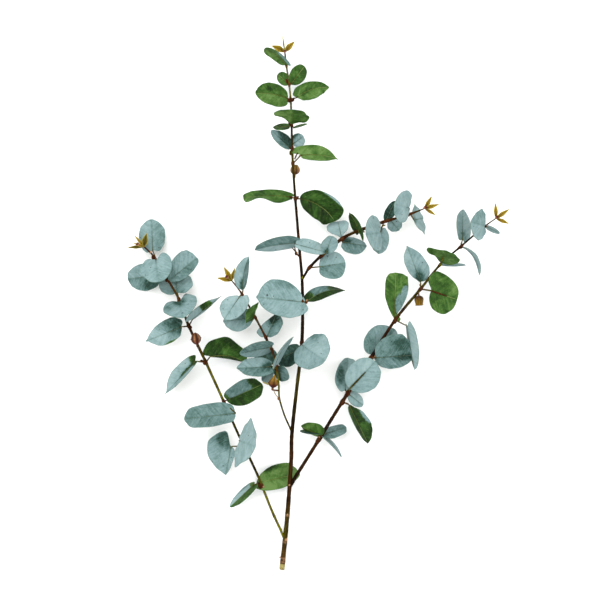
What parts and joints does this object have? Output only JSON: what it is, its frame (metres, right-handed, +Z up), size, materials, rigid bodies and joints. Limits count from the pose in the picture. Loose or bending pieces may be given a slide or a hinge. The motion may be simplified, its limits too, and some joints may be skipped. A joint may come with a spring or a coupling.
{
  "type": "eucalyptus gum nut sprig",
  "caption": "Cut eucalyptus sprig lying flat: a slender main stem and side branches with round silvery leaves, ribbed gum nuts and bud stars at the tips.",
  "frame": {"origin": "middle of the floor area that the lying sprig covers, at the height of the surface it rests on", "axes": "+Y from the cut end towards the leader's tip, +X to the right seen from above, +Z up from the surface"},
  "size_m": [0.4358, 0.6036, 0.0639],
  "materials": {
    "leaf": "waxy bloom over green, matt",
    "nut": "dry ribbed husk, satin",
    "bract": "thin dry scale, satin"
  },
  "bodies": {
    "root": {"leafy_main_stem": "leaf", "leafy_branch_left": "leaf", "leafy_branch_mid_left": "leaf", "leafy_branch_right": "leaf", "leafy_branch_upper_right": "leaf", "gum_nut_leader": "nut", "gum_nut_left": "nut", "gum_nut_mid_left": "nut", "gum_nut_right": "nut", "bud_star_leader": "bract", "bud_star_left": "bract", "bud_star_mid_left": "bract", "bud_star_right": "bract", "bud_star_upper_right": "bract"}
  },
  "joints": []
}
